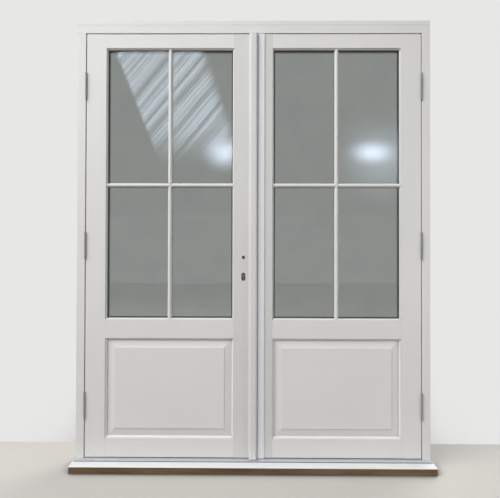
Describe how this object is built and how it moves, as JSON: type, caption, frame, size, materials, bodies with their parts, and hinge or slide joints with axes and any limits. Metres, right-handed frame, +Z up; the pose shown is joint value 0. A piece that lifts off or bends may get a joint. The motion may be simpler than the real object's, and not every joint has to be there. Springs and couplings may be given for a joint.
{
  "type": "french doors",
  "caption": "Outward opening pair of glazed timber doors in a rebated frame, with raised lower panels, glazing bars, astragal, threshold and projecting sill.",
  "frame": {"origin": "middle of the sill's underside, on the plane of the frame's outer face", "axes": "+X to the right seen from outside, +Y into the building, +Z up"},
  "size_m": [1.8, 0.18, 2.264],
  "materials": {
    "painted_timber": "satin white paint on timber",
    "packer_paint": "satin white paint on timber",
    "hardwood": "bare sawn hardwood",
    "sill_paint": "satin white paint",
    "strip_paint": "satin white paint, cooler than the leaves",
    "threshold_metal": "anodised mill finish",
    "hinge_steel": "satin",
    "block_plastic": "moulded setting blocks",
    "lock_steel": "zinc plated",
    "bolt_steel": "satin",
    "glazing_glass": "clear float glass",
    "spacer_metal": "matt",
    "seal_rubber": "soft grey gasket"
  },
  "bodies": {
    "frame": {"sill": "hardwood", "sill_cover": "sill_paint", "threshold": "threshold_metal", "left_jamb": "painted_timber", "right_jamb": "painted_timber", "frame_head": "painted_timber", "head_packer": "packer_paint", "bolt_keeps": "lock_steel", "frame_seals": "seal_rubber", "left_jamb_hinge_plates": "hinge_steel", "right_jamb_hinge_plates": "hinge_steel", "hinge_pins": "hinge_steel"},
    "active_leaf": {"active_hinge_stile": "painted_timber", "active_bottom_rail": "painted_timber", "active_mid_rail": "painted_timber", "active_top_rail": "painted_timber", "active_panel": "painted_timber", "active_panel_mouldings": "painted_timber", "active_outer_pane": "glazing_glass", "active_inner_pane": "glazing_glass", "active_glass_spacer": "spacer_metal", "active_glazing_moulding": "painted_timber", "active_glazing_beads": "painted_timber", "active_outer_bars": "painted_timber", "active_inner_bars": "painted_timber", "active_hinge_plates": "hinge_steel", "active_glazing_blocks": "block_plastic", "active_meeting_stile": "painted_timber", "astragal": "painted_timber", "lock_case": "lock_steel", "lock_faceplate": "lock_steel"},
    "passive_leaf": {"passive_hinge_stile": "painted_timber", "passive_bottom_rail": "painted_timber", "passive_mid_rail": "painted_timber", "passive_top_rail": "painted_timber", "passive_panel": "painted_timber", "passive_panel_mouldings": "painted_timber", "passive_outer_pane": "glazing_glass", "passive_inner_pane": "glazing_glass", "passive_glass_spacer": "spacer_metal", "passive_glazing_moulding": "painted_timber", "passive_glazing_beads": "painted_timber", "passive_outer_bars": "painted_timber", "passive_inner_bars": "painted_timber", "passive_hinge_plates": "hinge_steel", "passive_glazing_blocks": "block_plastic", "passive_meeting_stile": "painted_timber", "meeting_strip": "strip_paint", "strike_plate": "lock_steel", "flush_bolt_plates": "lock_steel"},
    "deadbolt": {"deadbolt": "bolt_steel"},
    "spindle_hub": {"spindle_hub": "lock_steel"},
    "top_shoot_rod": {"top_shoot_rod": "bolt_steel"},
    "bottom_shoot_rod": {"bottom_shoot_rod": "bolt_steel"},
    "top_flush_bolt": {"top_flush_bolt": "bolt_steel"},
    "bottom_flush_bolt": {"bottom_flush_bolt": "bolt_steel"}
  },
  "joints": [
    {"name": "active_leaf_hinge", "type": "hinge", "parent": "frame", "child": "active_leaf", "pos_m": [-0.85175, -0.004, 1.11975], "axis": [0, 0, -1], "range_deg": [0, 110]},
    {"name": "passive_leaf_hinge", "type": "hinge", "parent": "frame", "child": "passive_leaf", "pos_m": [0.85175, -0.004, 1.11975], "axis": [0, 0, 1], "range_deg": [0, 110]},
    {"name": "deadbolt_slide", "type": "slide", "parent": "active_leaf", "child": "deadbolt", "axis": [1, 0, 0], "range_m": [0, 0.02]},
    {"name": "spindle_turn", "type": "hinge", "parent": "active_leaf", "child": "spindle_hub", "pos_m": [-0.04874, 0.031, 1.0595], "axis": [0, 1, 0], "range_deg": [0, 60]},
    {"name": "top_shoot_slide", "type": "slide", "parent": "active_leaf", "child": "top_shoot_rod", "axis": [0, 0, 1], "range_m": [0, 0.02]},
    {"name": "bottom_shoot_slide", "type": "slide", "parent": "active_leaf", "child": "bottom_shoot_rod", "axis": [0, 0, -1], "range_m": [0, 0.02]},
    {"name": "top_flush_bolt_slide", "type": "slide", "parent": "passive_leaf", "child": "top_flush_bolt", "axis": [0, 0, 1], "range_m": [0, 0.018]},
    {"name": "bottom_flush_bolt_slide", "type": "slide", "parent": "passive_leaf", "child": "bottom_flush_bolt", "axis": [0, 0, -1], "range_m": [0, 0.018]}
  ],
  "couplings": [
    {"joint": "passive_leaf_hinge", "follows": "active_leaf_hinge", "ratio": 1},
    {"joint": "bottom_shoot_slide", "follows": "top_shoot_slide", "ratio": 1},
    {"joint": "spindle_turn", "follows": "top_shoot_slide", "rad_per_m": 52.359}
  ]
}
